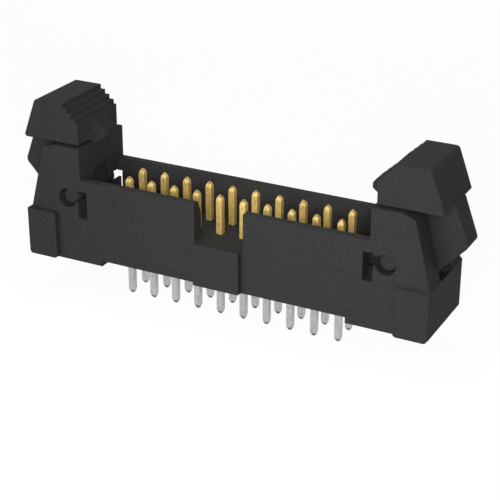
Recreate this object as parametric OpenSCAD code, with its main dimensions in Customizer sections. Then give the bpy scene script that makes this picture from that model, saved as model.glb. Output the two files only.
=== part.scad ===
// Straight two-row box header for flat cable, with a hinged ejector latch at each end.
// The board's top face is z = 0. X runs along the rows, and the keyed long wall faces -Y.

/* [Contacts] */
// Contacts in each of the two rows
columns = 10; // [5:1:25]
// Distance between neighbouring contacts, along a row and across the two rows
pitch = 2.0; // [1.9:0.05:2.2]
// Side of the square contact wire
wire_w = 0.5; // [0.4:0.02:0.6]
// Height of the contact tips over the board
post_top = 7.1; // [5.5:0.1:8]
// Length of the solder tails below the board's top face
tail_len = 2.87; // [2:0.01:4]
// Length of the rounded nose at both ends of a contact
nose_len = 0.42; // [0.2:0.02:0.6]

/* [Housing] */
// Outer width over the two long walls
body_w = 6.38; // [6.2:0.02:7]
// Thickness of the two long walls
wall_t = 1.1; // [0.8:0.02:1.2]
// Thickness of the long walls at their top edge, above the lead-in chamfer
rim_t = 0.65; // [0.4:0.05:0.8]
// Height of the lead-in chamfer inside the long walls
lead_in_h = 1.06; // [0.4:0.02:1.4]
// Height of the long walls over the board
wall_top = 6.94; // [6.6:0.02:7.4]
// Height of the cavity floor over the board
floor_top = 3.95; // [3.6:0.01:3.98]
// Distance from the last contact to the end of the cavity
end_gap = 3.14; // [3:0.02:4]
// Length of each end block, from the cavity outwards
end_len = 4.75; // [4.7:0.01:5.2]
// Gap between the board and the underside, between the feet
standoff = 0.46; // [0.2:0.02:0.8]
// Length of each foot, from the end face inwards
foot_len = 6.49; // [5.4:0.01:7]

/* [Polarity] */
// Width of the key slot in the front wall
key_slot_w = 4.12; // [3:0.02:5]
// Width of the key bump below the slot
key_bump_w = 3.84; // [2.8:0.02:4.8]
// How far the key bump stands out of the front wall
key_bump_t = 0.56; // [0.3:0.02:0.8]
// Width of the triangle that marks the first contact
mark_w = 1.84; // [1.2:0.02:2.2]
// Height of the triangle, from the wall's top edge to its apex
mark_h = 1.58; // [1:0.02:2]
// Depth of the triangle in the wall
mark_depth = 0.28; // [0.1:0.02:0.4]

/* [Ears] */
// Height of the ears over the board
ear_top = 9.48; // [9.4:0.02:9.56]
// Length of an ear, from the cavity to its outer top corner
ear_len = 3.3; // [2.8:0.02:3.4]
// Width of the latch slot between a pair of ears
slot_w = 2.28; // [2.1:0.02:2.6]

/* [Latches] */
// Opening angle of both latches, 0 when they stand closed
latch_angle = 0; // [0:1:20]
// Diameter of a latch's pivot pins
pin_d = 1.42; // [1.2:0.02:1.5]
// Radial clearance of the pivot pins in the housing
pin_clearance = 0.08; // [0.04:0.01:0.1]
// Width of a latch's stem and foot
stem_w = 2.04; // [1.7:0.02:2.06]
// Width of a latch's hook and of the lower steps of its grip
hook_w = 1.66; // [1.2:0.02:1.7]
// Width of a latch's head
head_w = 5.58; // [4:0.02:6.2]
// Height of a closed latch over the board
head_top = 12.8; // [12.6:0.05:13.4]
// Rise of one step of the finger grip
step_rise = 0.36; // [0.32:0.01:0.38]
// Run of one step of the finger grip
step_run = 0.386; // [0.36:0.002:0.4]

/* [Hidden] */
// Straight pieces in a rounded corner of an outline
corner_steps = 6;
// How far a cut runs past the face that it opens
lap = 0.2;
$fn = 48;

// Main planes of the housing
half_w = body_w / 2;
cavity_half = half_w - wall_t;
cavity_x = (columns - 1) * pitch / 2 + end_gap;
end_x = cavity_x + end_len;
foot_in = end_x - foot_len;
key_bump_rise = 0.05;

// The end blocks: shoulder below the ears, and the blocks on their front corners
shoulder_z = 4.06;
shoulder_in = 0.15;
shoulder_drop = 0.09;
corner_block_t = 0.51;
corner_block_len = 2.58;
corner_block_z = 0.06;
end_edge_r = 0.25;

// The latch's pivot, and the open pocket around its pins below the ears
pivot_x = cavity_x + 1.23;
pivot_z = 5.28;
pocket_x = pivot_x + 0.98;
pocket_top = pivot_z + 0.83;
hole_d = pin_d + 2 * pin_clearance;

// The outward swing of a latch: its head passes over the ears, and its shin comes down on a ramp
open_angle = 20;
shin_angle = 47;
head_bottom = 9.62;
head_gap = 0.03;
swing_r = head_bottom - pivot_z - head_gap;

// Floor of the latch slot: a sink behind the cavity floor, and the ramp up to the end face
sink_x = pivot_x + 0.53;
sink_z = 3.1;
ramp_top = 3.93;
ramp_slope = tan(shin_angle - open_angle);
ramp_x = end_x - (ramp_top - sink_z) / ramp_slope;

// Window beside each pivot hole, and the neck that joins the two
window_in = cavity_x - 0.53;
window_out = cavity_x + 0.26;
window_bottom = 3.74;
window_top = 6.02;
neck_bottom = 5.03;
neck_top = 5.85;
neck_out = pivot_x - 0.5;

// The closed latch, measured from its pivot: hub, foot, stem, head, throat and hook
hub_r = 1.247;
hub_turn = 42;
toe_x = pivot_x - 2.92;
toe_top = 4.55;
toe_r = 0.15;
foot_top = 4.75;
instep_r = 0.25;
heel_x = pivot_x + 5.28;
heel_z = 6.84;
heel_r = 0.45;
shin_z = 4.49;
shin_x = heel_x - (heel_z - shin_z) / tan(shin_angle);
shin_r = 0.3;
lean = 20.3;
crown_r = 0.3;
edge_r = 0.1;
tip_r = 0.2;
head_set_back = 0.2;
ledge_z = head_bottom + 0.28;
grip_x = pivot_x + 0.38;
head_in = pivot_x - 1;
throat_x = pivot_x - 0.95;
throat_top = 7.29;
hook_x = pivot_x - 2.17;
hook_slope_run = 0.24;
hook_slope_drop = 0.32;
hook_tip = 9.92;
hook_bottom = 9.25;
head_steps = 4;
hook_steps = 6;
pin_end = half_w - 0.49;
pin_chamfer = 0.15;

plastic = "#3b3b3d";
gold = "#e3b95a";

// Name of contact i: odd numbers in the front row, even ones behind them
function contact_name(i) = str("contact_", i < 10 ? "0" : "", i);
function column_x(i) = (floor((i - 1) / 2) - (columns - 1) / 2) * pitch;
function row_y(i) = ((i - 1) % 2 - 0.5) * pitch;

function unit(v) = v / norm(v);

// Arc of radius r that rounds the corner at b between a and c
function corner_arc(a, b, c, r) =
    let (
        u = unit(a - b),
        v = unit(c - b),
        half = acos(u * v) / 2,
        centre = b + unit(u + v) * r / sin(half),
        from = b + u * r / tan(half) - centre,
        to = b + v * r / tan(half) - centre,
        start = atan2(from[1], from[0]),
        turn = atan2(from[0] * to[1] - from[1] * to[0], from * to)
    )
    [for (k = [0 : corner_steps]) centre + r * [cos(start + turn * k / corner_steps),
                                                sin(start + turn * k / corner_steps)]];

// Outline through [x, z, radius] points: corners with a radius are rounded
function rounded(points) =
    let (n = len(points), at = [for (p = points) [p[0], p[1]]])
    [for (i = [0 : n - 1]) each points[i][2] > 0
        ? corner_arc(at[(i + n - 1) % n], at[i], at[(i + 1) % n], points[i][2])
        : [at[i]]];

// Outer face of the stem at height z, leaning inwards from the heel to the crown
function stem_out_x(z) = heel_x - (z - heel_z) * tan(lean);
function head_out_x(z) = stem_out_x(z) - head_set_back;

// The points, and then their mirror images in the opposite order
function mirrored(points) =
    concat(points, [for (i = [len(points) - 1 : -1 : 0]) [-points[i][0], points[i][1]]]);

// Points of the finger grip, going down: a riser, then a tread
function grip(steps) =
    [for (k = [0 : steps - 1], low = [0, 1])
        [grip_x - step_run * k, head_top - step_rise * (k + low), 0]];

// Top of an ear, going inwards: straight along the head's underside when the latch is fully open,
// round the pivot as far as the head swings, then level
function ear_crown() =
    let (
        out = cavity_x + ear_len - pivot_x,
        from = open_angle,
        to = acos((ear_top - pivot_z) / swing_r)
    )
    concat(
        [[pivot_x + out, pivot_z + (swing_r - out * sin(from)) / cos(from), 0]],
        [for (k = [0 : corner_steps])
            let (a = from + (to - from) * k / corner_steps)
            [pivot_x + swing_r * sin(a), pivot_z + swing_r * cos(a), 0]]
    );

// Extrudes an outline in X and Z over a width that is centred on Y = 0
module slab(width) {
    rotate([90, 0, 0])
        linear_extrude(height = width, center = true)
            children();
}

// Box between two opposite corners
module box(low, high) {
    translate(low)
        cube(high - low);
}

module at_both_ends() {
    children();
    mirror([1, 0, 0])
        children();
}

// Side view of the moulding: feet, end blocks, ears and the top edge of the long walls
module housing_outline() {
    right = concat(
        [
            [foot_in, standoff, 0],
            [foot_in, 0, 0],
            [end_x, 0, end_edge_r],
            [end_x, shoulder_z - shoulder_drop, 0],
            [end_x - shoulder_in, shoulder_z, 0]
        ],
        ear_crown(),
        [
            [cavity_x, ear_top, 0],
            [cavity_x, wall_top, 0]
        ]
    );
    polygon(mirrored(rounded(right)));
}

module key_bump() {
    low = [-key_bump_w / 2, -half_w - key_bump_t, standoff + key_bump_rise];
    high = [key_bump_w / 2, -half_w + lap, floor_top];
    box(low, high);
}

module corner_block() {
    block_in = end_x - corner_block_len;
    block_top = shoulder_z - shoulder_drop;
    translate([0, (lap - corner_block_t) / 2 - half_w, 0])
        slab(corner_block_t + lap)
            polygon(rounded([
                [block_in, corner_block_z, end_edge_r],
                [end_x, corner_block_z, end_edge_r],
                [end_x, block_top, 0],
                [block_in, block_top, 0]
            ]));
}

// Space for the cable socket, widened by the lead-in chamfers of the two long walls
module cavity() {
    rim_half = half_w - rim_t;
    flank = [
        [cavity_half, floor_top],
        [cavity_half, wall_top - lead_in_h],
        [rim_half, wall_top],
        [rim_half, wall_top + lap]
    ];
    rotate([90, 0, 90])
        linear_extrude(height = 2 * cavity_x, center = true)
            polygon(mirrored(flank));
}

module key_slot() {
    box([-key_slot_w / 2, -half_w - lap, floor_top], [key_slot_w / 2, -cavity_half + lap, wall_top + lap]);
}

// Sunk triangle below the wall's top edge, in front of the first contact
module first_contact_mark() {
    translate([column_x(1), -half_w, 0])
        slab(2 * mark_depth)
            polygon([
                [-mark_w / 2, wall_top],
                [0, wall_top - mark_h],
                [mark_w / 2, wall_top],
                [mark_w / 2, wall_top + lap],
                [-mark_w / 2, wall_top + lap]
            ]);
}

// Slot between the right-hand ears, open to the cavity, to the top and through the end face
module latch_slot() {
    slab(slot_w)
        polygon([
            [cavity_x - lap, floor_top],
            [sink_x, floor_top],
            [sink_x, sink_z],
            [ramp_x, sink_z],
            [end_x + lap, ramp_top + lap * ramp_slope],
            [end_x + lap, ear_top + lap],
            [cavity_x - lap, ear_top + lap]
        ]);
}

module pin_pocket() {
    box([cavity_x, -cavity_half, floor_top], [pocket_x, cavity_half, pocket_top]);
}

module pivot_hole() {
    translate([pivot_x, 0, pivot_z])
        rotate([90, 0, 0])
            cylinder(d = hole_d, h = body_w + 2 * lap, center = true);
}

// Window and neck through both long walls, on the cavity side of the pivot hole
module pin_window() {
    for (side = [-1, 1])
        translate([0, side * (half_w + cavity_half) / 2, 0])
            slab(wall_t + 2 * lap)
                polygon([
                    [window_in, window_bottom],
                    [window_out, window_bottom],
                    [window_out, neck_bottom],
                    [neck_out, neck_bottom],
                    [neck_out, neck_top],
                    [window_out, neck_top],
                    [window_out, window_top],
                    [window_in, window_top]
                ]);
}

module contact_hole(i) {
    translate([column_x(i) - wire_w / 2, row_y(i) - wire_w / 2, 0])
        cube([wire_w, wire_w, floor_top + lap]);
}

module housing() {
    color(plastic)
        difference() {
            union() {
                slab(body_w)
                    housing_outline();
                key_bump();
                at_both_ends()
                    corner_block();
            }
            cavity();
            key_slot();
            first_contact_mark();
            at_both_ends() {
                latch_slot();
                pin_pocket();
                pivot_hole();
                pin_window();
            }
            for (i = [1 : 2 * columns])
                contact_hole(i);
        }
}

// Foot, hub and stem of the right-hand latch, in side view.
// The stem's outer face ends in a ledge, and the head's outer face goes on behind it.
module stem_outline() {
    hub = [for (k = [0 : corner_steps])
        let (a = -90 + hub_turn * k / corner_steps)
        [pivot_x + hub_r * cos(a), pivot_z + hub_r * sin(a), 0]];
    polygon(rounded(concat(
        [[toe_x, pivot_z - hub_r, toe_r]],
        hub,
        [
            [shin_x, shin_z, shin_r],
            [heel_x, heel_z, heel_r],
            [stem_out_x(ledge_z), ledge_z, 0],
            [head_in + lap, ledge_z, 0],
            [cavity_x, hook_bottom, 0],
            [cavity_x, throat_top, 0],
            [throat_x, throat_top, 0],
            [throat_x, foot_top, instep_r],
            [toe_x + toe_r, toe_top, toe_r]
        ]
    )));
}

// Hook of the right-hand latch, with the whole finger grip above it, in side view
module hook_outline() {
    hook_top = head_top - step_rise * hook_steps;
    polygon(rounded(concat(
        [[grip_x, hook_bottom, 0]],
        grip(hook_steps),
        [
            [hook_x + hook_slope_run, hook_top, 0],
            [hook_x, hook_top - hook_slope_drop, edge_r],
            [hook_x, hook_tip, tip_r],
            [cavity_x, hook_bottom, 0]
        ]
    )));
}

// Wide part of the right-hand latch's head, in side view
module head_outline() {
    polygon(rounded(concat(
        [
            [head_in, head_bottom, edge_r],
            [head_out_x(head_bottom), head_bottom, tip_r],
            [head_out_x(head_top), head_top, crown_r]
        ],
        grip(head_steps),
        [[head_in, head_top - step_rise * head_steps, 0]]
    )));
}

module pivot_pins() {
    translate([pivot_x, 0, pivot_z])
        rotate([90, 0, 0]) {
            cylinder(d = pin_d, h = 2 * (pin_end - pin_chamfer), center = true);
            for (side = [0, 1])
                mirror([0, 0, side])
                    translate([0, 0, pin_end - pin_chamfer])
                        cylinder(d1 = pin_d, d2 = pin_d - 2 * pin_chamfer, h = pin_chamfer);
        }
}

// Right-hand latch, turned outwards about its pivot by latch_angle
module latch() {
    translate([pivot_x, 0, pivot_z])
        rotate([0, latch_angle, 0])
            translate([-pivot_x, 0, -pivot_z]) {
                slab(stem_w)
                    stem_outline();
                slab(hook_w)
                    hook_outline();
                slab(head_w)
                    head_outline();
                pivot_pins();
            }
}

module latch_right() {
    color(plastic)
        latch();
}

module latch_left() {
    color(plastic)
        mirror([1, 0, 0])
            latch();
}

// Square wire with a rounded nose at both ends, standing in its hole in the housing floor
module contact(i) {
    nose_r = 0.75 * wire_w;
    nose = [for (a = [0 : 15 : 90]) [nose_r * cos(a), nose_len * (sin(a) - 1)]];
    upper = [for (p = nose) [p[0], post_top + p[1]]];
    lower = [for (k = [len(nose) - 1 : -1 : 0]) [nose[k][0], -tail_len - nose[k][1]]];
    color(gold)
        translate([column_x(i), row_y(i), 0])
            intersection() {
                translate([-wire_w / 2, -wire_w / 2, -tail_len])
                    cube([wire_w, wire_w, tail_len + post_top]);
                rotate_extrude()
                    polygon(concat(lower, upper));
            }
}

housing();
latch_left();
latch_right();
for (i = [1 : 2 * columns])
    contact(i);
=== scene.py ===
"""Looks of a straight two-row box header with ejector latches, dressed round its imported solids.

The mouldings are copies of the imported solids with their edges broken. The contacts are drawn wire
with rounded noses, gold plated above the middle of the housing's floor and tin plated below it.
All lengths are in metres.
"""
import math

import bmesh
import bpy
import numpy as np
from bpy.props import FloatProperty, FloatVectorProperty, PointerProperty
from mathutils import Matrix, Vector


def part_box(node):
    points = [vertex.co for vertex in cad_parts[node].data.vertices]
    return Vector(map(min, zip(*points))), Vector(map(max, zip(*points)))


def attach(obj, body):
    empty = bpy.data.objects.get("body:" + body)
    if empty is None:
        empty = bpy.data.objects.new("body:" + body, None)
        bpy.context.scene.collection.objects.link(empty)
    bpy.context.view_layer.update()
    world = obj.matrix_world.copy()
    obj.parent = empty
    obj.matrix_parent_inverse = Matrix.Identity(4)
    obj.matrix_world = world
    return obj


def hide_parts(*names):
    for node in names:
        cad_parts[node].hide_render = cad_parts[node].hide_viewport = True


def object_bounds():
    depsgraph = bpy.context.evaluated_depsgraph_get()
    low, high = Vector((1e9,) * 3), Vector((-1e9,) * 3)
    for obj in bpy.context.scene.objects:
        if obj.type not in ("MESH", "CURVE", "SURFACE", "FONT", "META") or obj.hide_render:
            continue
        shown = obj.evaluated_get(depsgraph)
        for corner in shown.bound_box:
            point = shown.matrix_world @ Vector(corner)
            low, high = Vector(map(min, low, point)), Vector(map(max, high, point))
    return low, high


bl_info = {
    "name": "Box Header Looks",
    "version": (1, 0, 0),
    "blender": (4, 5, 0),
    "location": "View3D > Sidebar > Box Header",
    "description": "Plastic, plated contacts and a plain studio for a two-row box header",
    "category": "Object",
}

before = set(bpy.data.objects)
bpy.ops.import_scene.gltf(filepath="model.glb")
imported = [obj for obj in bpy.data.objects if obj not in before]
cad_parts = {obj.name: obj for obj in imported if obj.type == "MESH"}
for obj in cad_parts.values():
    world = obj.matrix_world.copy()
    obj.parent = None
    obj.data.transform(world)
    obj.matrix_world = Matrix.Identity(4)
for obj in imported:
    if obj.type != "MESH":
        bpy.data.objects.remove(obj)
CAD_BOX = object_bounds()

MM = 0.001
CONTACTS = sorted(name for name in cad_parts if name.startswith("contact_"))

# Mouldings. Points nearer than this are one, regions that bend less than this are flat, and edges
# that bend more than this are sharp.
SAME_POINT = 0.001 * MM
FLAT_BEND = math.radians(1)
SHARP_BEND = math.radians(30)
# A broken edge takes up to this share of the room beside it. A neighbour limits that room where
# the sine of its angle to the edge is more than this.
ROOM_SHARE = 0.14
ASIDE_SINE = 0.5
# Facets across a broken edge
BEVEL_SEGMENTS = 2

# Contacts. Height inside the housing's floor at which the gold plating gives way to tin.
PLATING_BORDER = 2.2 * MM
# Width of a nose at its very end, as a share of the wire's, and the powers of the curves that draw
# in the post and, more roundly, the tail
TIP = 0.3
POST_POWER = 0.7
TAIL_POWER = 0.6
# How near the section comes to a circle at the tip, where 1 is a circle, and how much the rings of
# a nose crowd towards its tip, where 1 is not at all
TIP_ROUNDNESS = 0.9
RING_CROWDING = 1.5

# Plastic. Width of the clouds that the melt's flow leaves, how much lighter or darker the clouds
# and the pits make the plastic, how much the clouds change its roughness, and the pits' bump.
CLOUD_SIZE = 3 * MM
CLOUD_TONE = 0.07
PIT_TONE = 0.2
CLOUD_ROUGHNESS = 0.06
PIT_DEPTH = 0.01 * MM
PIT_STRENGTH = 0.35

# Plating. Spacing of the wire's drawing lines, their width as a share of their length, and how
# much they count beside the specks.
LINE_SPACING = 0.06 * MM
LINE_SHARE = 0.12
LINE_WEIGHT = 0.5
# How much lighter or darker, and how much rougher or smoother, the specks make the plating, and
# the strength of their bump
SPECK_TONE = 0.3
SPECK_ROUGHNESS = 0.08
SPECK_STRENGTH = 0.4
# What is added to the specks away from a wire's end, and the sums from which the end is darkened
# and at which it is darkest. At the tin tails this darkening is painted shade.
AWAY_FROM_END = -0.15
END_DARKENING_BEGINS = 0.55
END_DARKENING_FULL = 0.7

# Floor. Half its side, its colours where it is looked at and where it throws light back onto the
# object, and the share and strength of the white that it is lifted with.
FLOOR_REACH = 1.5
PAPER_SEEN = "f2f2f2"
PAPER_BOUNCE = "909090"
LIFT_SHARE = 0.9
LIFT_STRENGTH = 1.04

# Lamps. Where each stands, the side of its square, and whether it is mirrored in the object. Their
# powers are properties of the stage, and they all face one point above the board.
LAMPS = {
    "key": ((0.046, -0.088, 0.048), 0.03, True),
    "low": ((0.005, -0.04, 0), 0.03, False),
    "top": ((-0.03, 0.02, 0.45), 0.30, True),
    "side": ((-0.06, -0.12, 0.06), 0.06, True),
    "back": ((-0.06, 0.2, 0.01), 0.08, False),
}
LAMP_TARGET = Vector((0, 0, 5 * MM))

# Camera. Width of its sensor in millimetres, and the nearest distance at which it sees.
SENSOR_WIDTH = 36
NEAREST = 5 * MM


def linear(code):
    """Linear colour of an sRGB hex code such as 3b3b3d: each channel undone by the sRGB curve."""
    channels = np.array([int(code[i:i + 2], 16) for i in (0, 2, 4)]) / 255
    low = channels / 12.92
    high = ((channels + 0.055) / 1.055) ** 2.4
    return tuple(np.where(channels <= 0.04045, low, high))


def colour_property(name, description, code):
    """Property for a colour, whose default is an sRGB hex code."""
    return FloatVectorProperty(name=name, description=description, default=linear(code), size=3,
                               min=0, max=1, subtype="COLOR")


def share_property(name, description, share):
    """Property for a share from 0 to 1."""
    return FloatProperty(name=name, description=description, default=share, min=0, max=1,
                         subtype="FACTOR")


def length_property(name, description, length, least):
    """Property for a small length in metres, and the least that it may be."""
    return FloatProperty(name=name, description=description, default=length, min=least,
                         subtype="DISTANCE", unit="LENGTH", precision=6)


def angle_property(name, description, degrees):
    """Property for an angle, whose default is given in degrees."""
    return FloatProperty(name=name, description=description, default=math.radians(degrees),
                         subtype="ANGLE", unit="ROTATION")


def power_property(name, description, watts):
    """Property for the power of a lamp in watts."""
    return FloatProperty(name=name, description=description, default=watts, min=0, unit="POWER")


class BoxHeaderPlastic(bpy.types.PropertyGroup):
    """Finish of the housing and the latches"""
    colour: colour_property("Colour", "Colour of the moulded plastic", "333333")
    roughness: share_property("Roughness", "Roughness of the spark-eroded mould surface", 0.75)
    specular: share_property("Specular level", "Strength of the surface gloss", 0.1)
    grain: length_property("Grain", "Spacing of the pits that the mould leaves in the plastic",
                           0.15 * MM, 0.02 * MM)
    edge: length_property("Edge", "Width of the broken edges", 0.1 * MM, 0)


class BoxHeaderContacts(bpy.types.PropertyGroup):
    """Colours and shape of the contacts"""
    gold: colour_property("Gold", "Colour of the plated posts", "e2c880")
    tin: colour_property("Tin", "Colour of the plated tails", "b4b4b6")
    corner: length_property("Corner", "Corner radius of the drawn wire", 0.04 * MM, 0.01 * MM)
    nose: length_property("Nose", "Length of the nose at both ends of a contact",
                          0.45 * MM, 0.1 * MM)


class BoxHeaderStage(bpy.types.PropertyGroup):
    """Camera and light"""
    azimuth: angle_property("Azimuth", "Camera's turn round the header, from the keyed wall",
                            27.112)
    elevation: angle_property("Elevation", "Camera's angle above the board", 24.688)
    roll: angle_property("Roll", "Camera's turn about its own axis", 0.183)
    place: FloatVectorProperty(name="Place", description="Where the camera stands",
                               default=(46.28 * MM, -88.39 * MM, 48.20 * MM), size=3,
                               subtype="TRANSLATION", unit="LENGTH")
    lens: FloatProperty(name="Lens", description="Focal length on a 36 mm sensor, in millimetres",
                        default=102.82, min=10)
    key: power_property("Key light", "Power of the soft lamp in front", 0.062)
    top: power_property("Top light", "Power of the soft lamp overhead", 0.46)
    low: power_property("Low light", "Power of the small lamp in front, near the floor", 0.0115)
    side: power_property("Side light", "Power of the soft lamp on the left", 0.052)
    back: power_property("Back light", "Power of the soft lamp behind the header", 0.25)
    sky: FloatProperty(name="Sky", description="Strength of the even light from all round",
                       default=0.07, min=0)


def add_node(tree, kind, values=None, links=None, **settings):
    """Adds a shader node, sets its attributes and input values, and links sockets to its inputs."""
    node = tree.nodes.new("ShaderNode" + kind)
    for key, value in settings.items():
        setattr(node, key, value)
    for key, value in (values or {}).items():
        node.inputs[key].default_value = value
    for key, source in (links or {}).items():
        tree.links.new(source, node.inputs[key])
    return node


def new_material(name):
    """A material without nodes, and its node tree."""
    material = bpy.data.materials.new(name)
    material.use_nodes = True
    material.node_tree.nodes.clear()
    return material, material.node_tree


def per_size(size):
    """Scale of a texture node whose features are to be size metres wide."""
    return 1 / size


def moulded_plastic(settings):
    """Glass-filled polyester from a spark-eroded mould: dark grey, matt, with fine even pits."""
    material, tree = new_material("matt_moulded_polyester")
    place = add_node(tree, "TexCoord").outputs["Object"]
    # The mould's pits are finer than the render shows, and are drawn as coarse as the grain says
    pits = add_node(tree, "TexNoise",
                    {"Scale": per_size(settings.grain), "Detail": 3, "Roughness": 0.6},
                    {"Vector": place})
    clouds = add_node(tree, "TexNoise",
                      {"Scale": per_size(CLOUD_SIZE), "Detail": 2, "Roughness": 0.5},
                      {"Vector": place})
    shade = add_node(tree, "MapRange", {"To Min": 1 - CLOUD_TONE, "To Max": 1 + CLOUD_TONE},
                     {"Value": clouds.outputs["Fac"]})
    # The noise of the pits is hardly ever outside the range from 0.3 to 0.7
    speckle = add_node(tree, "MapRange",
                       {"From Min": 0.3, "From Max": 0.7,
                        "To Min": 1 - PIT_TONE, "To Max": 1 + PIT_TONE},
                       {"Value": pits.outputs["Fac"]})
    tone = add_node(tree, "Math", links={0: shade.outputs[0], 1: speckle.outputs[0]},
                    operation="MULTIPLY")
    colour = add_node(tree, "VectorMath", {0: settings.colour}, {"Scale": tone.outputs[0]},
                      operation="SCALE")
    rough = add_node(tree, "MapRange",
                     {"To Min": settings.roughness - CLOUD_ROUGHNESS,
                      "To Max": settings.roughness + CLOUD_ROUGHNESS},
                     {"Value": clouds.outputs["Fac"]})
    bump = add_node(tree, "Bump", {"Strength": PIT_STRENGTH, "Distance": PIT_DEPTH},
                    {"Height": pits.outputs["Fac"]})
    surface = add_node(tree, "BsdfPrincipled",
                       {"IOR": 1.5, "Specular IOR Level": settings.specular},
                       {"Base Color": colour.outputs[0], "Roughness": rough.outputs[0],
                        "Normal": bump.outputs[0]})
    add_node(tree, "OutputMaterial", links={"Surface": surface.outputs[0]})
    return material


def plated_metal(name, colour, roughness, grit, depth, end_darkening_from, end_darkening_to, end_darkening_tone, end_darkening_share):
    """Plating on drawn wire: satin metal with fine specks and streaks along the wire's length.

    The specks are grit wide and depth high. Between the heights end_darkening_from and
    end_darkening_to, at the end of the wire, the colour is darkened in specks to end_darkening_tone
    times its lightness. The greater end_darkening_share is, the more these specks run together. At
    the tin tails this darkening is painted shade, a dark reflection painted onto the cut ends.
    """
    material, tree = new_material(name)
    place = add_node(tree, "TexCoord").outputs["Object"]
    along = add_node(tree, "Mapping", {"Scale": (1, 1, LINE_SHARE)}, {"Vector": place})
    streaks = add_node(tree, "TexNoise", {"Scale": per_size(LINE_SPACING), "Detail": 2},
                       {"Vector": along.outputs[0]})
    specks = add_node(tree, "TexNoise",
                      {"Scale": per_size(grit), "Detail": 3, "Roughness": 0.65},
                      {"Vector": place})
    both = add_node(tree, "Math", {1: LINE_WEIGHT},
                    {0: streaks.outputs["Fac"], 2: specks.outputs["Fac"]},
                    operation="MULTIPLY_ADD")
    # The sum of the two is hardly ever outside the range from 0.5 to 1
    tone = add_node(tree, "MapRange",
                    {"From Min": 0.5, "From Max": 1,
                     "To Min": 1 - SPECK_TONE, "To Max": 1 + SPECK_TONE},
                    {"Value": both.outputs[0]})
    height = add_node(tree, "SeparateXYZ", links={"Vector": place}).outputs["Z"]
    # Share of darkening towards the wire's end: darker specks on the gold, painted shade on the tin
    end_ramp = add_node(tree, "MapRange",
                        {"From Min": end_darkening_from, "From Max": end_darkening_to,
                         "To Min": AWAY_FROM_END, "To Max": end_darkening_share},
                        {"Value": height})
    end_sum = add_node(tree, "Math", links={0: end_ramp.outputs[0], 1: specks.outputs["Fac"]},
                    operation="ADD")
    end_factor = add_node(tree, "MapRange",
                    {"From Min": END_DARKENING_BEGINS, "From Max": END_DARKENING_FULL, "To Min": 1, "To Max": end_darkening_tone},
                    {"Value": end_sum.outputs[0]})
    speckled_and_darkened = add_node(tree, "Math", links={0: tone.outputs[0], 1: end_factor.outputs[0]},
                    operation="MULTIPLY")
    tint = add_node(tree, "VectorMath", {0: colour}, {"Scale": speckled_and_darkened.outputs[0]},
                    operation="SCALE")
    rough = add_node(tree, "MapRange",
                     {"To Min": roughness - SPECK_ROUGHNESS, "To Max": roughness + SPECK_ROUGHNESS},
                     {"Value": specks.outputs["Fac"]})
    bump = add_node(tree, "Bump", {"Strength": SPECK_STRENGTH, "Distance": depth},
                    {"Height": both.outputs[0]})
    surface = add_node(tree, "BsdfPrincipled", {"Metallic": 1},
                       {"Base Color": tint.outputs[0], "Roughness": rough.outputs[0],
                        "Normal": bump.outputs[0]})
    add_node(tree, "OutputMaterial", links={"Surface": surface.outputs[0]})
    return material


def seen(tree):
    """Socket that is 1 where the camera, a reflection or glass looks at a surface, or else 0."""
    path = add_node(tree, "LightPath")
    mirrored = add_node(tree, "Math",
                        links={0: path.outputs["Is Camera Ray"], 1: path.outputs["Is Glossy Ray"]})
    return add_node(tree, "Math",
                    links={0: mirrored.outputs[0], 1: path.outputs["Is Transmission Ray"]},
                    use_clamp=True).outputs[0]


def pale_floor():
    """White paper: matt and pale.

    It is lifted to white where it is looked at, with the shadow kept. It is grey where it throws
    light back onto the object, as a table that ends close to the part does.
    """
    material, tree = new_material("white_paper")
    look = seen(tree)
    tone = add_node(tree, "MapRange",
                    {"To Min": linear(PAPER_BOUNCE)[0], "To Max": linear(PAPER_SEEN)[0]},
                    {"Value": look})
    paper = add_node(tree, "BsdfDiffuse", links={"Color": tone.outputs[0]})
    white = add_node(tree, "Emission", {"Strength": LIFT_STRENGTH})
    share = add_node(tree, "Math", {1: LIFT_SHARE}, {0: look}, operation="MULTIPLY")
    mixed = add_node(tree, "MixShader",
                     links={0: share.outputs[0], 1: paper.outputs[0], 2: white.outputs[0]})
    add_node(tree, "OutputMaterial", links={"Surface": mixed.outputs[0]})
    return material


def white_world(strength):
    """World that is white where it is looked at and lights the object evenly at this strength."""
    world = bpy.data.worlds.new("white_room")
    world.use_nodes = True
    tree = world.node_tree
    tree.nodes.clear()
    light = add_node(tree, "Background", {"Color": (1, 1, 1, 1), "Strength": strength})
    white = add_node(tree, "Background", {"Color": (1, 1, 1, 1), "Strength": 1})
    mixed = add_node(tree, "MixShader",
                     links={0: seen(tree), 1: light.outputs[0], 2: white.outputs[0]})
    add_node(tree, "OutputWorld", links={"Surface": mixed.outputs[0]})
    bpy.context.scene.world = world


def new_piece(name, mesh, materials):
    """Object at the origin that shows the mesh with these materials."""
    piece = bpy.data.objects.new(name, mesh)
    bpy.context.scene.collection.objects.link(piece)
    mesh.materials.clear()
    for material in materials:
        mesh.materials.append(material)
    return piece


def room_beside(edge):
    """Least distance, at right angles to the edge, that a neighbour at either end leads away."""
    along = (edge.verts[1].co - edge.verts[0].co).normalized()
    room = math.inf
    for vert in edge.verts:
        for other in vert.link_edges:
            away = other.other_vert(vert).co - vert.co
            sideways = away.cross(along).length
            if other is not edge and sideways > ASIDE_SINE * away.length:
                room = min(room, sideways)
    return room


def break_edges(shape, width):
    """Marks the sharp outer edges for a bevel of this width, or less where the room is short."""
    weight = shape.edges.layers.float.new("bevel_weight_edge")
    for edge in shape.edges:
        if len(edge.link_faces) == 2 and edge.calc_face_angle_signed() > SHARP_BEND:
            edge[weight] = min(1, ROOM_SHARE * room_beside(edge) / width)


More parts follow.
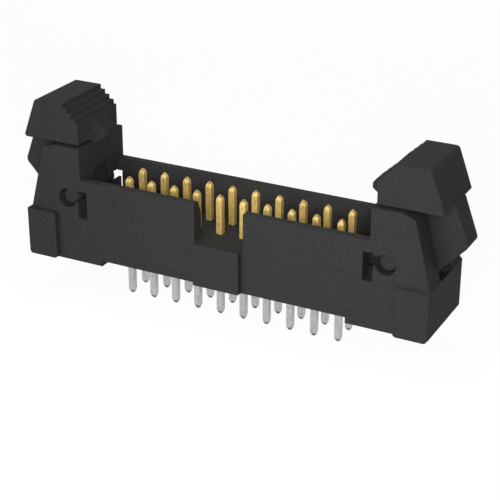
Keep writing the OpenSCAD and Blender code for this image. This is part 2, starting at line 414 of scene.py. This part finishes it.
def moulding(name, node, body, material, edge):
    """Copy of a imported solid: doubles merged, flat regions joined, sharp outer edges broken."""
    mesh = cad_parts[node].data.copy()
    mesh.name = name
    shape = bmesh.new()
    shape.from_mesh(mesh)
    bmesh.ops.remove_doubles(shape, verts=shape.verts, dist=SAME_POINT)
    bmesh.ops.dissolve_limit(shape, angle_limit=FLAT_BEND, verts=shape.verts, edges=shape.edges)
    break_edges(shape, edge)
    shape.to_mesh(mesh)
    shape.free()
    mesh.polygons.foreach_set("use_smooth", np.ones(len(mesh.polygons), bool))
    mesh.set_sharp_from_angle(angle=SHARP_BEND)
    piece = new_piece(name, mesh, [material])
    bevel = piece.modifiers.new("broken_edges", "BEVEL")
    bevel.width = edge
    bevel.segments = BEVEL_SEGMENTS
    bevel.limit_method = "WEIGHT"
    piece.modifiers.new("flat_faces", "WEIGHTED_NORMAL").keep_sharp = True
    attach(piece, body)
    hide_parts(node)


def wire_section(side, corners, steps=5):
    """Rounded squares, one for each corner radius.

    Each is a quarter circle of that radius about each of the four corner centres, in turn.
    """
    quarter = np.linspace(0, math.pi / 2, steps)
    turn = np.arange(4)[:, None] * math.pi / 2 + quarter
    signs = np.sign(np.stack([np.cos(turn.mean(1)), np.sin(turn.mean(1))], 1))[:, None]
    radii = corners[:, None, None, None]
    ring = (side / 2 - radii) * signs + radii * np.stack([np.cos(turn), np.sin(turn)], 2)
    return ring.reshape(len(corners), -1, 2)


def wire_surface(low, high, corner, nose, rings=8):
    """Square wire from low to high: its section carried along z and drawn in over both noses.

    With t from 0 at the tip to 1 where the nose begins, s is the sine of t quarter turns, and the
    section is scaled by TIP + (1 - TIP) * s ** power. The corner radius grows with 1 - s, to
    nearly half the wire's side at the tip, where the section is almost a circle. Returns the
    points, ring by ring with the two poles last, the number of rings and the points in each.
    """
    side = high.x - low.x
    t = np.linspace(0, 1, rings + 1) ** RING_CROWDING
    s = np.sin(t * math.pi / 2)
    post, tail = (TIP + (1 - TIP) * s ** power for power in (POST_POWER, TAIL_POWER))
    heights = np.concatenate([low.z + nose * t, [PLATING_BORDER], high.z - nose * t[::-1]])
    scales = np.concatenate([tail, [1], post[::-1]])
    round_share = TIP_ROUNDNESS * (1 - np.concatenate([s, [1], s[::-1]]))
    section = wire_section(side, corner + (side / 2 - corner) * round_share)
    middle = np.array([(low.x + high.x) / 2, (low.y + high.y) / 2])
    flat = middle + section * scales[:, None, None]
    tall = np.broadcast_to(heights[:, None, None], (*flat.shape[:2], 1))
    points = np.concatenate([flat, tall], 2).reshape(-1, 3)
    poles = np.array([[*middle, low.z], [*middle, high.z]])
    return np.concatenate([points, poles]), len(heights), section.shape[1]


def contact(name, node, materials, corner, nose):
    """One contact: quads between neighbouring rings, and a fan of triangles round each pole."""
    points, rings, around = wire_surface(*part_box(node), corner, nose)
    index = np.arange(rings * around).reshape(rings, around)
    turned = np.roll(index, -1, 1)
    quads = np.stack([index[:-1], turned[:-1], turned[1:], index[1:]], 2).reshape(-1, 4)
    bottom, top = rings * around, rings * around + 1
    low_fan = np.stack([np.full(around, bottom), turned[0], index[0]], 1)
    high_fan = np.stack([np.full(around, top), index[-1], turned[-1]], 1)
    mesh = bpy.data.meshes.new(name)
    mesh.from_pydata(points.tolist(), [], quads.tolist() + low_fan.tolist() + high_fan.tolist())
    piece = new_piece(name, mesh, materials)
    centres = np.zeros(len(mesh.polygons) * 3)
    mesh.polygons.foreach_get("center", centres)
    below = centres[2::3] < PLATING_BORDER
    mesh.polygons.foreach_set("use_smooth", np.ones(len(mesh.polygons), bool))
    mesh.polygons.foreach_set("material_index", below.astype(np.int32))
    mesh.update()
    piece.modifiers.new("flat_sides", "WEIGHTED_NORMAL")
    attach(piece, "header")
    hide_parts(node)


def lamp(name, place, size, power, mirrored):
    """Square soft lamp that faces the target. Where it isn't mirrored, it leaves no highlights."""
    data = bpy.data.lights.new(name, "AREA")
    data.size = size
    data.energy = power
    light = bpy.data.objects.new(name, data)
    light.location = place
    light.rotation_mode = "QUATERNION"
    light.rotation_quaternion = (LAMP_TARGET - Vector(place)).to_track_quat("-Z", "Y")
    light.visible_camera = False
    light.visible_glossy = mirrored
    bpy.context.scene.collection.objects.link(light)


def studio_camera(settings):
    """Camera that looks along its azimuth and elevation, turned about its own axis by the roll."""
    data = bpy.data.cameras.new("camera")
    data.sensor_width = SENSOR_WIDTH
    data.lens = settings.lens
    data.clip_start = NEAREST
    camera = bpy.data.objects.new("camera", data)
    bpy.context.scene.collection.objects.link(camera)
    az, el, roll = settings.azimuth, settings.elevation, settings.roll
    back = Vector((math.sin(az) * math.cos(el), -math.cos(az) * math.cos(el), math.sin(el)))
    level = Vector((math.cos(az), math.sin(az), 0))
    upright = back.cross(level)
    right = level * math.cos(roll) + upright * math.sin(roll)
    up = upright * math.cos(roll) - level * math.sin(roll)
    turn = Matrix((right, up, back)).transposed().to_4x4()
    camera.matrix_world = Matrix.Translation(settings.place) @ turn
    bpy.context.scene.camera = camera


class BOXHEADER_OT_mouldings(bpy.types.Operator):
    """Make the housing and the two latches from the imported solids"""
    bl_idname = "boxheader.mouldings"
    bl_label = "Housing and latches"

    def execute(self, context):
        settings = context.scene.box_header_plastic
        plastic = moulded_plastic(settings)
        moulding("housing_moulding", "housing", "header", plastic,
                 settings.edge)
        for side in ("left", "right"):
            moulding(side + "_latch_moulding", "latch_" + side, side + "_latch",
                     plastic, settings.edge)
        return {"FINISHED"}


class BOXHEADER_OT_contacts(bpy.types.Operator):
    """Make the plated contacts, one for each packed contact"""
    bl_idname = "boxheader.contacts"
    bl_label = "Contacts"

    def execute(self, context):
        settings = context.scene.box_header_contacts
        bottom, top = (corner.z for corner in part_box(CONTACTS[0]))
        # Darker specks near the posts' tips
        gold = plated_metal("gold_plated_bronze", settings.gold, roughness=0.66, grit=0.12 * MM,
                            depth=0.006 * MM, end_darkening_from=top - 0.5 * MM, end_darkening_to=top,
                            end_darkening_tone=0.3, end_darkening_share=0.2)
        # Painted shade: the tails' lower ends are darkened as a painted dark reflection
        tin = plated_metal("tin_plated_bronze", settings.tin, roughness=0.42, grit=0.12 * MM,
                           depth=0.004 * MM, end_darkening_from=bottom + 0.4 * MM, end_darkening_to=bottom,
                           end_darkening_tone=0.22, end_darkening_share=0.6)
        for node in CONTACTS:
            contact(node.replace("contact", "plated_wire"), node, [gold, tin], settings.corner,
                    settings.nose)
        return {"FINISHED"}


class BOXHEADER_OT_stage(bpy.types.Operator):
    """Make the floor, the white room, the lamps and the camera"""
    bl_idname = "boxheader.stage"
    bl_label = "Stage"

    def execute(self, context):
        settings = context.scene.box_header_stage
        corners = [(x * FLOOR_REACH, y * FLOOR_REACH, CAD_BOX[0].z)
                   for x, y in ((-1, -1), (1, -1), (1, 1), (-1, 1))]
        mesh = bpy.data.meshes.new("floor")
        mesh.from_pydata(corners, [], [(0, 1, 2, 3)])
        new_piece("floor", mesh, [pale_floor()])
        white_world(settings.sky)
        for name, (place, size, mirrored) in LAMPS.items():
            lamp(name + "_lamp", place, size, getattr(settings, name), mirrored)
        studio_camera(settings)
        context.scene.view_settings.view_transform = "Standard"
        return {"FINISHED"}


class BOXHEADER_PT_panel(bpy.types.Panel):
    """Lists the pieces of the box header"""
    bl_label = "Box Header"
    bl_idname = "BOXHEADER_PT_panel"
    bl_space_type = "VIEW_3D"
    bl_region_type = "UI"
    bl_category = "Box Header"

    def draw(self, context):
        for group, operator in GROUPS.items():
            box = self.layout.box()
            settings = getattr(context.scene, group)
            for key in settings.__annotations__:
                box.prop(settings, key)
            box.operator(operator)


# Each group of properties, and the operator that makes its pieces
GROUPS = {
    "box_header_plastic": "boxheader.mouldings",
    "box_header_contacts": "boxheader.contacts",
    "box_header_stage": "boxheader.stage",
}
CLASSES = (BoxHeaderPlastic, BoxHeaderContacts, BoxHeaderStage, BOXHEADER_OT_mouldings,
           BOXHEADER_OT_contacts, BOXHEADER_OT_stage, BOXHEADER_PT_panel)


def register():
    """Registers the classes and gives every scene the three groups of properties."""
    for cls in CLASSES:
        bpy.utils.register_class(cls)
    bpy.types.Scene.box_header_plastic = PointerProperty(type=BoxHeaderPlastic)
    bpy.types.Scene.box_header_contacts = PointerProperty(type=BoxHeaderContacts)
    bpy.types.Scene.box_header_stage = PointerProperty(type=BoxHeaderStage)


def unregister():
    """Takes the groups and the classes away again, in the opposite order."""
    for group in GROUPS:
        delattr(bpy.types.Scene, group)
    for cls in reversed(CLASSES):
        bpy.utils.unregister_class(cls)


def main():
    register()
    bpy.ops.boxheader.mouldings()
    bpy.ops.boxheader.contacts()
    bpy.ops.boxheader.stage()


if __name__ == "__main__":
    main()
